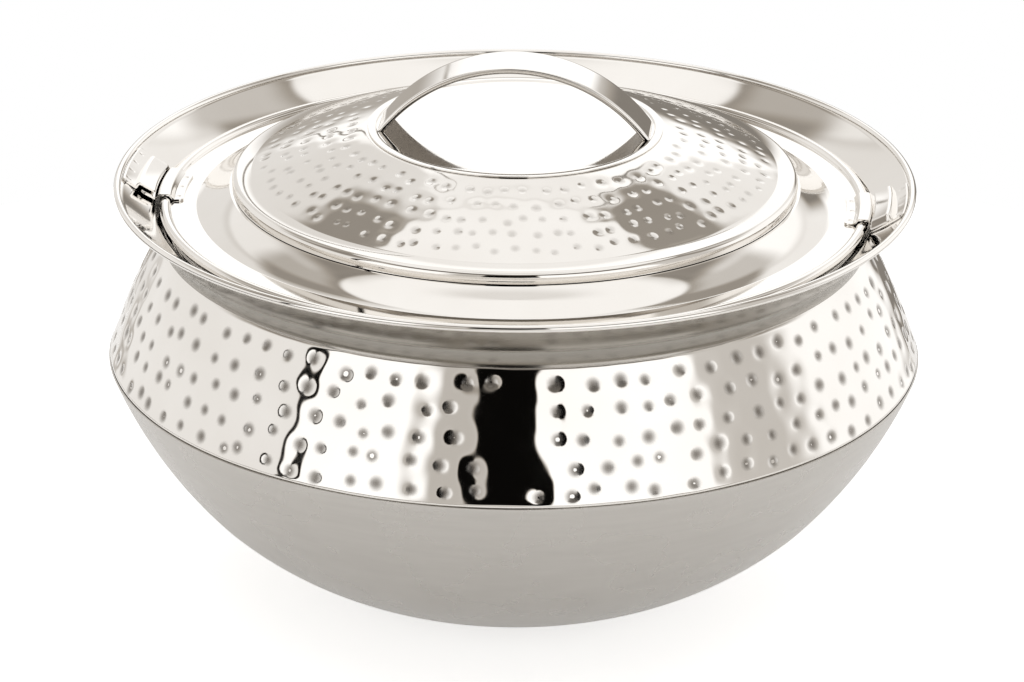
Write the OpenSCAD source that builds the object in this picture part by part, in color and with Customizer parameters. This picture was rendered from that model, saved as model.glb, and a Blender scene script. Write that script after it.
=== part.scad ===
// Insulated chapati casserole with a twist-lock lid, in millimetres.
// The origin is on the table under the middle of the base, +Z is up,
// and the two lock brackets lie on the X axis.

/* [Vessel outline] */
// Diameter over the rolled lip of the flared rim, which sets all the rings inside it
rim_d = 280; // [240:1:320]
// Height of the middle of the rolled lip above the table
rim_h = 145.6; // [138:0.2:165]
// How far the belly, where the two outer shells meet, stands out past the lip
belly_over = 3; // [-2:0.5:12]
// Height of the belly joint above the table
belly_h = 83.2; // [74:0.2:92]
// How far the hammered wall bulges out from a straight cone
wall_bulge = 1.2; // [0.3:0.1:3]
// How far the neck, where the collar meets the hammered wall, stands in from the lip
neck_in = 16.5; // [14.8:0.1:17.2]
// How far the neck lies below the lip
neck_drop = 18.6; // [17.6:0.1:22]
// How far the knee of the lower bowl stands in from the belly
knee_in = 31; // [26:0.5:38]
// Height of the knee of the lower bowl
knee_h = 34; // [30:0.5:42]
// Diameter of the foot ring that stands on the table
foot_d = 95; // [84:1:120]
// Width of the flat of the foot ring
foot_w = 6.5; // [4:0.5:10]
// Depth of the stamped recess inside the foot ring
foot_recess = 2; // [1:0.25:3]

/* [Flared rim] */
// Width of the flared wall, seen from above
flare_w = 14.2; // [13.6:0.1:15]
// Height from the foot of the flared wall to the middle of the lip
flare_drop = 8; // [7:0.1:8.8]
// Radius of the rolled lip
lip_r = 1.25; // [1.1:0.05:1.5]
// How far the flared wall sags between its foot and the lip
flare_bow = 0.3; // [0.1:0.1:0.4]
// Height of the plain upright band of the collar
band_h = 5.4; // [4:0.2:6]
// How far the upright band of the collar leans out
band_lean = 1.9; // [1:0.1:2.4]

/* [Inner pot] */
// How far the mouth of the pot stands out past the lid's mirror cove
mouth_over = 0.2; // [-1:0.1:0.8]
// Height of the pot floor above the table, which leaves room for the foam
pot_floor = 18; // [14:0.5:30]
// Radius between the wall and the floor of the pot
pot_corner = 50; // [40:1:56]
// How much the pot narrows from mouth to floor, on the radius
pot_draft = 2; // [1:0.25:5]
// Width of the pot's flange, on which the seal rests
pot_flange = 10.5; // [9.5:0.1:10.8]

/* [Sheet and joints] */
// Thickness of the pressed sheet
sheet = 0.6; // [0.5:0.05:0.65]
// Length of the lap where one shell slips inside another
lap = 3; // [2:0.25:4]
// Clearance in a lap
lap_gap = 0.15; // [0.1:0.05:0.2]
// Clearance round the foam
foam_gap = 0.3; // [0.2:0.05:0.5]
// Diameter of the plug that closes the foam filling hole
plug_d = 12; // [8:0.5:20]

/* [Lid] */
// Height from the middle of the lip down to the flat flange of the lid
lid_drop = 7.6; // [7:0.1:8]
// Clearance between the edge of the lid and the foot of the flared wall
groove = 1.5; // [1.2:0.1:2]
// Width of the mirror cove of the lid, seen from above
cove_w = 12.5; // [9:0.1:16]
// Depth of the hollow of the mirror cove
cove_hollow = 0.8; // [0.2:0.1:1.4]
// Height of the top of the cove, where the crown's step stands, above the flange
cove_rise = 7.3; // [5.5:0.1:9]
// Height of the upright step of the crown
step_h = 4.1; // [3.4:0.1:6]
// Rounding of the top edge of that step
step_round = 2.2; // [1:0.1:2.4]
// Width of the plain band above the step
plain_band = 6.7; // [4:0.1:10]
// Height of the recess edge above the step
cone_rise = 16.6; // [12:0.1:22]
// How far the hammered cone bulges
cone_bulge = 1; // [0.2:0.1:2.4]
// Width of the flat flange between the cove and the bead
flange_w = 9; // [8.6:0.1:9.4]
// Width of the half-round bead round the edge of the lid
bead_w = 4; // [3.4:0.1:4.2]
// Height of that bead above the flange
bead_h = 1.8; // [1.2:0.1:1.9]

/* [Recess and handle] */
// Inside diameter of the polished dish under the handle
recess_d = 97.6; // [86:0.2:106]
// Width of the rim of the recess dish
recess_rim = 2.4; // [1.8:0.1:4]
// Depth of the shallow dish at its middle
recess_depth = 0.6; // [0.6:0.1:3]
// Depth of the steep edge where the rim of the dish turns down
recess_edge = 0.5; // [0.4:0.05:0.55]
// Width of the handle strap
strap_w = 19.4; // [14:0.2:26]
// Thickness of the handle strap
strap_t = 2; // [1.2:0.1:2.6]
// Height of the handle strap above the rim of the dish, at its middle
strap_rise = 24; // [20:0.5:30]

/* [Lid pan and seal] */
// Clearance between the lid pan and the pot wall
pan_gap = 2.2; // [1.6:0.1:2.6]
// Depth of the lid pan below the flange of the lid
pan_depth = 20; // [16:0.5:30]
// Radius between the wall and the floor of the lid pan
pan_corner = 9; // [5:0.5:12]
// Thickness of the seal ring
seal_t = 2.2; // [1.6:0.1:2.4]
// Width of the seal ring
seal_w = 5; // [4:0.1:6]

/* [Twist lock] */
// Length of a bracket, in degrees round the rim
bracket_deg = 13.6; // [13:0.1:16]
// Length of a lug, in degrees round the lid
lug_deg = 12.6; // [10:0.1:13]
// Thickness of the bracket and lug sheet
clip_t = 0.8; // [0.6:0.05:0.9]
// Clear height of the pocket under a bracket, measured upright
pocket_h = 2.5; // [2.4:0.1:3]
// Width of the pocket, seen from above
pocket_w = 6.6; // [6.2:0.1:6.8]
// Width of the slope that closes the pocket on its outer side
pocket_slope = 1.8; // [1.4:0.1:2]
// Length of the sloping closed end of the pocket, in degrees
end_deg = 1.4; // [1:0.1:2]
// Gap left between a locked lug and the closed end of its pocket, in degrees
lock_play = 0.7; // [0.3:0.1:1.2]
// Clearance between the tongue of a lug and the flared wall, measured upright
tongue_gap = 0.7; // [0.6:0.05:0.8]
// Length of the flap by which a lug is welded to the lid
lug_flap = 3.2; // [2.8:0.1:3.4]
// Rounding of the corners of the brackets and lugs
clip_round = 1.6; // [0.6:0.1:2.4]

/* [Hidden] */
$fn = 96;

// Vessel
rim_r = rim_d / 2;
belly_r = rim_r + belly_over;
neck_r = rim_r - neck_in;
neck_h = rim_h - neck_drop;
knee_r = belly_r - knee_in;
foot_r = foot_d / 2;
bowl_bulge = 2.7;
knee_bulge = 5.6;
lip_c = [rim_r - lip_r, rim_h];
lip_root = lip_c + [-0.4, 0.12] * lip_r;
flare_foot = [rim_r - flare_w, rim_h - flare_drop];
collar_top = lip_c + [-0.45, -1.3] * lip_r;
collar_knee = [neck_r + band_lean, neck_h + band_h];
lap_step = sheet + lap_gap;

// Levels of the lid, its seal and the seat for it
flange_z = rim_h - lid_drop;
seat_z = flange_z - sheet - seal_t;
ledge_z = seat_z - sheet;
bead_out = flare_foot[0] - groove;
bead_in = bead_out - bead_w;
cove_r = bead_in - flange_w;
crown_r = cove_r - cove_w;
step_z = flange_z + cove_rise;
crown_z = step_z + step_h;
recess_r = recess_d / 2;
recess_out = recess_r + recess_rim;
recess_z = crown_z + cone_rise;
cone_foot = [crown_r - plain_band, crown_z + 0.75];
dish_round = 1;
dish_z = recess_z - recess_depth;
dish_edge = [recess_r - recess_edge, recess_z - recess_edge];

// Inner pot, the ledge that carries it, the lid pan and the seal
pot_r = cove_r + mouth_over;
ledge_in = pot_r + pot_flange - 4.5;
ledge_out = pot_r + pot_flange + 1.6;
pan_flange_r = cove_r + 1.7;
pan_r = pot_r - pan_gap;
pan_z = flange_z - pan_depth;
seal_in = pan_flange_r + 0.3;

// Twist lock
lid_deg = -bracket_deg / 2 + end_deg + lock_play + lug_deg / 2;
wall_lift = 0.1;
pocket_in = flare_foot[0] + 0.4;
pocket_out = pocket_in + pocket_w;
bracket_out = rim_r - 2 * lip_r - 0.3;
lug_in = bead_in - 0.9 - lug_flap;
tongue_out = pocket_out - pocket_slope - 0.3;

// ---- outlines ----

function unit(v) = v / norm(v);
function last(v) = v[len(v) - 1];
function reverse(v) = [for (i = [len(v) - 1 : -1 : 0]) v[i]];
function part_of(v, a, b) = [for (i = [a : b]) v[i]];
function level(a, b, z) = a + (b - a) * (z - a[1]) / (b[1] - a[1]);
function turn(a) = a > 180 ? a - 360 : a < -180 ? a + 360 : a;
function swell(x) = (1 - cos(180 * min(max(x, 0), 1))) / 2;

// The points from the angle a1 on through sweep, r from o
function round_to(o, r, a1, sweep, n) =
    [for (i = [0 : n]) o + r * [cos(a1 + sweep * i / n), sin(a1 + sweep * i / n)]];
function bearing(o, p) = atan2(p[1] - o[1], p[0] - o[0]);

// An arc from a to b that stands s off its chord, to the left where s is positive
function arc(a, b, s, n = 12) =
    let (d = b - a, c = norm(d), side = [-d[1], d[0]] / c,
         r = (c * c / 4 + s * s) / (2 * s), o = (a + b) / 2 + side * (s - r))
    round_to(o, abs(r), bearing(o, a), turn(bearing(o, b) - bearing(o, a)), n);

// The corner q of a path, rounded to the radius r
function corner(p, q, s, r, n = 6) =
    let (u = unit(p - q), v = unit(s - q), half = acos(u * v) / 2,
         o = q + unit(u + v) * r / sin(half),
         a = q + u * r / tan(half), b = q + v * r / tan(half))
    round_to(o, r, bearing(o, a), turn(bearing(o, b) - bearing(o, a)), n);

// A path of [x, y] or [x, y, corner radius] points, with its corners rounded
function xy(p) = [p[0], p[1]];
function path(p) =
    [for (i = [0 : len(p) - 1])
        each len(p[i]) < 3 ? [p[i]] : corner(xy(p[i - 1]), xy(p[i]), xy(p[i + 1]), p[i][2])];

// A path moved sideways by t, to the left where t is positive
function left(a, b) = let (d = unit(b - a)) [-d[1], d[0]];
function beside(p, t) =
    [for (i = [0 : len(p) - 1])
        let (n1 = i == 0 ? left(p[0], p[1]) : left(p[i - 1], p[i]),
             n2 = i == len(p) - 1 ? n1 : left(p[i], p[i + 1]))
        p[i] + t * (n1 + n2) / (1 + n1 * n2)];

// The section of a sheet that lies along a path, on its right or on its left
function on_right(p, t = sheet) = concat(p, reverse(beside(p, -t)));
function on_left(p, t = sheet) = concat(p, reverse(beside(p, t)));

module revolve(section) {
    rotate_extrude() polygon(section);
}

// ---- vessel ----

wall_curve = arc([neck_r, neck_h], [belly_r, belly_h], wall_bulge, 10);
bowl_top = arc([belly_r, belly_h], [knee_r, knee_h], bowl_bulge, 10);
bowl_low = arc([knee_r, knee_h], [foot_r, 0], knee_bulge, 12);
bowl_curve = concat(bowl_top, part_of(bowl_low, 1, 12));

// Along a lap, and square to it towards the inside of the vessel
band_dir = unit([neck_r, neck_h] - collar_knee);
band_in = [band_dir[1], -band_dir[0]];
lip_dir = unit(bowl_top[1] - bowl_top[0]);
lip_in = [lip_dir[1], -lip_dir[0]];

module outer_bowl() {
    step_r = foot_r - foot_w;
    base = [[step_r, 0], [step_r - foot_recess, foot_recess], [plug_d / 2, foot_recess]];
    color("lightgray") revolve(on_right(concat(bowl_curve, base)));
}

module foam_plug() {
    color("dimgray")
        union() {
            translate([0, 0, foot_recess - 0.9])
                cylinder(d = plug_d + 5, h = 0.9 - lap_gap);
            translate([0, 0, foot_recess - 0.9])
                cylinder(d = plug_d - 2 * lap_gap, h = 3.4);
        }
}

module hammered_wall() {
    top = [neck_r, neck_h] + lap_step * band_in;
    foot = [belly_r, belly_h] + lap_step * lip_in;
    first = wall_curve[0] + 1.1 * unit(wall_curve[1] - wall_curve[0]);
    final = wall_curve[10] - 1.1 * unit(wall_curve[10] - wall_curve[9]);
    p = concat([top - lap * band_dir, top + 0.15 * band_dir, first], part_of(wall_curve, 1, 9),
               [final, foot - 0.15 * lip_dir, foot + lap * lip_dir]);
    color("silver") revolve(on_right(p));
}

module neck_collar() {
    p = path([collar_top, concat(collar_knee, [3]), [neck_r, neck_h]]);
    color("gainsboro") revolve(on_right(p));
}

module flared_rim() {
    p = concat(path([[ledge_in, ledge_z], [ledge_out, ledge_z, 0.9], flare_foot]),
               part_of(arc(flare_foot, lip_root, -flare_bow, 8), 1, 8));
    color("whitesmoke")
        union() {
            revolve(on_right(p));
            rotate_extrude() translate(lip_c) circle(r = lip_r, $fn = 32);
        }
}

pot_path = path([[pot_r + pot_flange, seat_z], [pot_r, seat_z, 1.2],
                 [pot_r - pot_draft, pot_floor, pot_corner], [0, pot_floor]]);

module inner_pot() {
    color("gainsboro") revolve(on_left(pot_path));
}

module body_foam() {
    skin = 2 * sheet + lap_gap + foam_gap;
    top_z = ledge_z - sheet - 0.8;
    floor_z = foot_recess + sheet + foam_gap;
    waist = neck_r - skin;
    outer = beside(concat(part_of(wall_curve, 1, 9), part_of(bowl_curve, 1, 22)), -skin);
    low = [for (q = outer) if (q[1] > floor_z + 0.2) q];
    pot = beside(pot_path, sheet + foam_gap);
    inner = concat([level(pot[7], pot[8], top_z)], part_of(pot, 8, len(pot) - 1));
    color("khaki")
        difference() {
            revolve(concat([[waist, top_z], [waist, neck_h - 0.5]], low,
                           [level(last(low), outer[len(low)], floor_z), [0, floor_z]],
                           reverse(inner)));
            translate([0, 0, floor_z - 1])
                cylinder(d = plug_d, h = 3.8);
        }
}

// ---- lid ----

cone_curve = arc([recess_out, recess_z - sheet], cone_foot, cone_bulge, 12);
cove_curve = arc([crown_r + sheet, step_z], [cove_r, flange_z], -cove_hollow, 10);
spigot_r = crown_r - lap_step;

module lid_crown() {
    shoulder = [crown_r, crown_z - 0.34, step_round];
    p = concat([[recess_r + dish_round + lap_gap, recess_z - sheet]], cone_curve,
               part_of(path([cone_foot, shoulder, [crown_r, step_z]]), 1, 8));
    color("silver") revolve(on_right(p));
}

module lid_skirt() {
    bead = arc([bead_in, flange_z], [bead_out, flange_z], bead_h, 10);
    p = concat([[spigot_r, step_z + step_h / 2], [spigot_r, step_z - 0.15]],
               part_of(cove_curve, 1, 10), bead);
    color("whitesmoke") revolve(on_right(p));
}

pan_path = path([[pan_flange_r, flange_z - 2 * sheet], [pan_r, flange_z - 2 * sheet, 1.2],
                 [pan_r, pan_z, pan_corner], [0, pan_z]]);

module lid_pan() {
    color("gainsboro") revolve(on_right(pan_path));
}

// The arc of the dish runs level where it meets the small flat at its middle
dish_flat = [2, dish_z];
dish_d = dish_edge - dish_flat;
dish_arc_r = (dish_d * dish_d) / (2 * dish_d[1]);
dish_sag = dish_arc_r - sqrt(pow(dish_arc_r, 2) - dish_d * dish_d / 4);
dish_path = concat(path([[recess_out, recess_z], [recess_r, recess_z, dish_round], dish_edge]),
                   part_of(arc(dish_edge, dish_flat, dish_sag, 20), 1, 20), [[0, dish_z]]);

module recess_dish() {
    color("white") revolve(on_left(dish_path));
}

module lid_foam() {
    skin = 2 * sheet + lap_gap + foam_gap;
    side = crown_r - skin;
    dish = [for (q = beside(dish_path, sheet + foam_gap)) if (q[0] < dish_edge[0]) q];
    pan = [for (q = beside(pan_path, -sheet - foam_gap)) if (q[1] < flange_z - 4 * sheet) q];
    cone = [for (q = beside(cone_curve, -skin)) if (q[0] > dish[0][0] + 0.5 && q[0] < side) q];
    cove = [for (q = beside(cove_curve, -skin)) if (q[0] > side && q[0] < pan[0][0] - 0.4) q];
    color("khaki")
        revolve(concat(cone, [[side, last(cone)[1] - 0.8]], [[side, cove[0][1]]], cove,
                       [[pan[0][0], last(cove)[1]]], pan, reverse(dish)));
}

// The strap is cut by the dish below it, so its feet lie on the dish
module handle_strap() {
    bend_z = dish_edge[1];
    low_z = bend_z - 1.6;
    foot_x = sqrt(pow(dish_edge[0], 2) - pow(strap_w / 2, 2));
    top = arc([-foot_x, bend_z], [foot_x, bend_z], recess_z + strap_rise - bend_z, 32);
    under = beside(top, -strap_t);
    dish_top = beside(dish_path, -lap_gap);
    color("white")
        rotate([0, 0, lid_deg])
            difference() {
                rotate([90, 0, 0])
                    translate([0, 0, -strap_w / 2])
                        linear_extrude(strap_w)
                            polygon(concat([[-foot_x, low_z]], top, [[foot_x, low_z]],
                                           [[last(under)[0], low_z]], reverse(under),
                                           [[under[0][0], low_z]]));
                revolve(concat([for (q = dish_top) if (q[0] > 1) q],
                               [[0, last(dish_top)[1]], [0, dish_z - 2], [recess_out, dish_z - 2]]));
            }
}

module lid_seal() {
    color("white")
        translate([0, 0, seat_z])
            rotate_extrude()
                translate([seal_in, 0])
                    square([seal_w, seal_t]);
}

// ---- twist lock ----

// Height of the flared wall at the radius r
function wall_z(r) = flare_foot[1] + (r - flare_foot[0]) * (lip_root[1] - flare_foot[1])
                     / (lip_root[0] - flare_foot[0]);

// How much a corner of the plan is cut back at the distance d from the end of a clip
function cut_back(d) = d < clip_round
    ? clip_round - sqrt(pow(clip_round, 2) - pow(clip_round - d, 2)) : 0;

// A section [[r, z], ...] stood up at the angle a
function stood(section, a) = [for (q = section) [q[0] * cos(a), q[0] * sin(a), q[1]]];

// The solid through a row of equal sections, each made of a lower and an upper line
module loft(rows) {
    n = len(rows[0]);
    m = len(rows);
    h = n / 2;
    around = [for (j = [0 : m - 2]) for (i = [0 : n - 1])
        let (a = j * n + i, b = j * n + (i + 1) % n, c = b + n, d = a + n)
        each [[a, b, c], [a, c, d]]];
    ends = [for (i = [0 : h - 2])
        let (a = i, b = i + 1, c = n - 2 - i, d = n - 1 - i, e = (m - 1) * n)
        each [[a, c, b], [a, d, c], [a + e, b + e, c + e], [a + e, c + e, d + e]]];
    polyhedron([for (r = rows) each r], concat(around, ends));
}

// The pocket of a bracket: it lies on the flared wall at its closed end and outer edge
function bracket_low(lift, out) =
    let (flat = pocket_out - pocket_slope)
    concat([for (i = [0 : 3]) let (r = pocket_in + (flat - pocket_in) * i / 3)
               [r, wall_z(r) + wall_lift + pocket_h * lift]],
           [for (i = [1 : 5]) let (r = flat + pocket_slope * i / 5)
               [r, wall_z(r) + wall_lift + pocket_h * lift * (1 - swell(i / 5))]],
           [for (i = [1 : 2]) let (r = pocket_out + (out - pocket_out) * i / 2)
               [r, wall_z(r) + wall_lift]]);

module lock_bracket() {
    q = clip_round / rim_r * 57.3;
    steps = concat([0, 0.3 * q, q], [for (i = [1 : 5]) q + (end_deg * 1.6 - q) * i / 5],
                   [bracket_deg / 2, bracket_deg - q, bracket_deg - 0.3 * q, bracket_deg]);
    rows = [for (s = steps)
        let (d = min(s, bracket_deg - s) * rim_r / 57.3,
             low = bracket_low(swell((s - 0.2) / end_deg), bracket_out - cut_back(d)))
        stood(concat(low, reverse(beside(low, clip_t))), s - bracket_deg / 2)];
    loft(rows);
}

// The run of a lug: flap on the flange, step over the bead, tongue along the flared wall
lug_line = path([[lug_in - 1, flange_z], [bead_in - 0.9, flange_z, 0.9],
                 [bead_in + 0.7, flange_z + bead_h + 0.2, 0.5],
                 [bead_out - 0.3, flange_z + bead_h + 0.2, 0.5],
                 [flare_foot[0] - 0.1, wall_z(flare_foot[0]) + tongue_gap + 0.2, 1.2],
                 [tongue_out + 1, wall_z(tongue_out + 1) + tongue_gap]]);

module lock_lug() {
    count = 24;
    q = clip_round / rim_r * 57.3;
    steps = concat([0, 0.3 * q, q], [for (i = [1 : 4]) q + (lug_deg - 2 * q) * i / 5],
                   [lug_deg - q, lug_deg - 0.3 * q, lug_deg]);
    rows = [for (s = steps)
        let (d = min(s, lug_deg - s) * rim_r / 57.3,
             r1 = lug_in + cut_back(d), r2 = tongue_out - cut_back(d),
             low = [for (i = [0 : count]) let (r = r1 + (r2 - r1) * i / count)
                 [r, lookup(r, lug_line)]])
        stood(concat(low, reverse(beside(low, clip_t))), s - lug_deg / 2)];
    loft(rows);
}

module lock_bracket_right() {
    color("gray") lock_bracket();
}

module lock_bracket_left() {
    color("gray") rotate([0, 0, 180]) lock_bracket();
}

module lock_lug_right() {
    color("darkgray") rotate([0, 0, lid_deg]) lock_lug();
}

module lock_lug_left() {
    color("darkgray") rotate([0, 0, lid_deg + 180]) lock_lug();
}

outer_bowl();
foam_plug();
hammered_wall();
neck_collar();
flared_rim();
inner_pot();
body_foam();
lock_bracket_right();
lock_bracket_left();
lid_seal();
lid_crown();
lid_skirt();
lid_pan();
lid_foam();
recess_dish();
handle_strap();
lock_lug_right();
lock_lug_left();
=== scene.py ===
# %% [markdown]
# # An insulated casserole with a twist-lock lid
# The vessel is two thin steel shells with foam between them, and a flared, rolled rim.
# The lid sits inside that rim: a mirror cove, a hammered dome, and a strap handle over a polished dish.
# Everything is thrown on one upright axis, so most pieces are drawn as a section and spun.
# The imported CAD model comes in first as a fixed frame. Its arcs are short straight lines, which a mirror
# finish would show as facets, so each steel piece is made again here, finer, in the same place.

# %% Load the frame
import math

import bpy
import numpy as np
from mathutils import Matrix, Vector


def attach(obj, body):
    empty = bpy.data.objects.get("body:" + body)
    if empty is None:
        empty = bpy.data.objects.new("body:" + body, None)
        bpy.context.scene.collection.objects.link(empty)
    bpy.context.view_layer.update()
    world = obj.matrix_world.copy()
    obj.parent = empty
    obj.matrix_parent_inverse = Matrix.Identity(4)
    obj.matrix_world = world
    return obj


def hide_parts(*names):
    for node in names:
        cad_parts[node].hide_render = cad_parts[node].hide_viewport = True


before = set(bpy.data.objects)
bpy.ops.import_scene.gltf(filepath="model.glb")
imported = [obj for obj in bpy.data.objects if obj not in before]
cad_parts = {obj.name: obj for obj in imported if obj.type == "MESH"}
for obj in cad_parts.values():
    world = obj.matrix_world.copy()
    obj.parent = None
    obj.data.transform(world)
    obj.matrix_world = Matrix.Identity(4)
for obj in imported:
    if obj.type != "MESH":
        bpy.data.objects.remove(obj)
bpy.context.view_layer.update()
MM = 0.001

# %% [markdown]
# ## Drawing sections
# A spun piece starts as a section, which is a list of [radius, height] points in millimetres.
# These few helpers draw what a spinner's template is made of: straight runs, sagging or crowned arcs,
# rounded corners, and the second face of the sheet, which lies beside the first.

# %% Section helpers
def away(a, b):
    """The unit direction from a to b."""
    d = np.subtract(b, a)
    return d / np.hypot(*d)


def bearing(o, p):
    """The angle of p seen from o."""
    return math.atan2(p[1] - o[1], p[0] - o[0])


def round_to(o, r, start, sweep, n):
    """Points on a circle about o, from the angle start on through sweep."""
    return [[o[0] + r * math.cos(start + sweep * i / n), o[1] + r * math.sin(start + sweep * i / n)]
            for i in range(n + 1)]


def turn(angle):
    """An angle, or an array of them, brought into the half turns either side of nought."""
    return (angle + math.pi) % (2 * math.pi) - math.pi


def arc(a, b, sag, n):
    """An arc from a to b that stands sag off its chord, to the left where sag is positive."""
    chord = math.dist(a, b)
    r = (chord * chord / 4 + sag * sag) / (2 * sag)
    along = away(a, b)
    o = (np.add(a, b) / 2 + np.array([-along[1], along[0]]) * (sag - r)).tolist()
    return round_to(o, abs(r), bearing(o, a), turn(bearing(o, b) - bearing(o, a)), n)


def rounded(points, n=8):
    """A run of [r, z] or [r, z, corner radius] points with its corners rounded."""
    run = []
    for i, p in enumerate(points):
        if len(p) < 3:
            run.append(list(p))
            continue
        u, v = away(p[:2], points[i - 1][:2]), away(p[:2], points[i + 1][:2])
        half = math.acos(float(u @ v)) / 2
        o = np.array(p[:2]) + (u + v) / np.hypot(*(u + v)) * p[2] / math.sin(half)
        a, b = (np.array(p[:2]) + w * p[2] / math.tan(half) for w in (u, v))
        run += round_to(o.tolist(), p[2], bearing(o, a), turn(bearing(o, b) - bearing(o, a)), n)
    return run


def beside(run, t):
    """The run moved sideways by t, to the left where t is positive."""
    p = np.array(run, float)
    d = np.diff(p, axis=0)
    n = np.stack([-d[:, 1], d[:, 0]], 1) / np.hypot(d[:, 0], d[:, 1])[:, None]
    before, after = np.vstack([n[:1], n]), np.vstack([n, n[-1:]])
    return (p + t * (before + after) / (1 + (before * after).sum(1))[:, None]).tolist()


def sheet_section(run, t):
    """The closed section of a sheet t thick: along the run, and back beside it with small round edges."""
    back = beside(run, t)[::-1]
    edges = []
    for here, there, before in ((run[-1], back[0], run[-2]), (back[-1], run[0], back[-2])):
        out = away(before, here) * abs(t) * 0.4
        middle = np.add(here, there) / 2 + out
        edges.append([(np.array(here) * 0.8 + middle * 0.2 + out * 0.5).tolist(), middle.tolist(),
                      (np.array(there) * 0.8 + middle * 0.2 + out * 0.5).tolist()])
    on_axis = abs(run[-1][0]) < 1e-6
    section = run + ([] if on_axis else edges[0]) + back + edges[1]
    return [[max(r, 0.0), z] for r, z in section]


print("a quarter round has", len(round_to([0, 0], 1, 0, math.pi / 2, 8)), "points")

# %% [markdown]
# ## Spinning a section
# The outline is a closed loop of edges: a circle primitive with one vertex for each point of the section,
# moved onto it. Spin sweeps a quarter of the ring and a Mirror makes it whole, which is many times quicker
# than one long spin. The doubles at the seams and the pole are merged, and the normals are set outwards.
# Smooth shading up to an angle keeps the pressed corners crisp.

# %% Spin helper
AROUND = 256


def deselect():
    if bpy.context.mode != "OBJECT":
        bpy.ops.object.mode_set(mode="OBJECT")
    bpy.ops.object.select_all(action="DESELECT")


def named(name):
    piece = bpy.context.object
    piece.name = piece.data.name = name
    return piece


def spun(name, section, steps=AROUND, crisp=35):
    """The ring that a closed section, in millimetres, sweeps round the upright axis."""
    deselect()
    bpy.ops.mesh.primitive_circle_add(vertices=len(section), fill_type="NOTHING")
    piece = named(name)
    for vertex, (r, z) in zip(piece.data.vertices, section):
        vertex.co = (r * MM, 0, z * MM)
    bpy.ops.object.mode_set(mode="EDIT")
    bpy.ops.mesh.select_all(action="SELECT")
    bpy.ops.mesh.spin(steps=steps // 4, angle=math.pi / 2, center=(0, 0, 0), axis=(0, 0, 1))
    bpy.ops.object.mode_set(mode="OBJECT")
    both_ways = piece.modifiers.new("whole round", "MIRROR")
    both_ways.use_axis[1] = True
    both_ways.merge_threshold = 1e-6
    bpy.ops.object.modifier_apply(modifier=both_ways.name)
    bpy.ops.object.mode_set(mode="EDIT")
    bpy.ops.mesh.select_all(action="SELECT")
    bpy.ops.mesh.remove_doubles(threshold=1e-6)
    bpy.ops.mesh.normals_make_consistent(inside=False)
    bpy.ops.object.mode_set(mode="OBJECT")
    bpy.ops.object.shade_smooth_by_angle(angle=math.radians(crisp))
    print(name, len(piece.data.polygons), "faces")
    return piece


print("a plain ring is spun in", AROUND, "steps")

# %% [markdown]
# ## Sizes that the pieces share
# These are the lengths of the part's own source, in millimetres, so that each piece lands on its CAD node.

# %% Shared sizes
SHEET = 0.6
LAP, LAP_STEP = 3.0, 0.75
RIM_R = 140.0
LIP, LIP_R = [138.75, 145.6], 1.25
LIP_ROOT, FLARE_FOOT, FLARE_BOW = [138.25, 145.75], [125.8, 137.6], 0.3
COLLAR_TOP, COLLAR_KNEE = [138.19, 143.98], [125.4, 132.4]
NECK, BELLY, KNEE, FOOT = [123.5, 127.0], [143.0, 83.2], [112.0, 34.0], [47.5, 0.0]
LEDGE_Z, SEAT_Z, FLANGE_Z = 134.6, 135.2, 138.0
COVE_R, CROWN_R, STEP_Z, CROWN_Z = 111.3, 98.8, 145.3, 149.4
BEAD_IN, BEAD_OUT, BEAD_H = 120.3, 124.3, 1.8
CONE_TOP, CONE_FOOT = [51.2, 165.4], [92.1, 150.15]
RECESS_R, RECESS_OUT, RECESS_Z = 48.8, 51.2, 166.0
DISH_EDGE, DISH_FLAT = [48.3, 165.5], [2.0, 165.4]
POT_R, PAN_R, PAN_Z = 111.5, 109.3, 118.0
LID_DEG = 1.6

wall_curve = arc(NECK, BELLY, 1.2, 72)
bowl_top = arc(BELLY, KNEE, 2.7, 24)
bowl_low = arc(KNEE, FOOT, 5.6, 30)
cone_curve = arc(CONE_TOP, CONE_FOOT, 1.0, 72)
cove_curve = arc([CROWN_R + SHEET, STEP_Z], [COVE_R, FLANGE_Z], -0.8, 28)
flare_curve = arc(FLARE_FOOT, LIP_ROOT, -FLARE_BOW, 20)
band_dir = away(COLLAR_KNEE, NECK)
band_in = np.array([band_dir[1], -band_dir[0]])
lip_dir = away(bowl_top[0], bowl_top[1])
lip_in = np.array([lip_dir[1], -lip_dir[0]])
print("hammered wall is", round(math.dist(NECK, BELLY), 1), "mm from neck to belly")

# %% [markdown]
# ## The vessel's shells
# The lower bowl is satin steel, thrown in one curve down to a flat foot ring with a stamped recess.
# The bowl's top edge laps outside the hammered wall, and the plain collar laps outside it at the neck,
# so both joints show as a thin bright edge with a dark line under it.

# %% Outer bowl
FOOT_IN, RECESS_IN, FOOT_RECESS, PLUG_HOLE_R = 41.0, 39.0, 2.0, 6.0
foot_ring = rounded([bowl_low[-4], FOOT + [1.0], [FOOT_IN, 0.0, 1.2], [RECESS_IN, FOOT_RECESS, 0.8],
                     [PLUG_HOLE_R, FOOT_RECESS]])
bowl_run = bowl_top + bowl_low[1:-3] + foot_ring[1:]
outer_bowl = spun("outer_bowl_shell", sheet_section(bowl_run, -SHEET))

# %% Neck collar
collar_run = rounded([COLLAR_TOP, COLLAR_KNEE + [3.0], NECK], 14)
neck_collar = spun("neck_collar_shell", sheet_section(collar_run, -SHEET))

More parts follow.
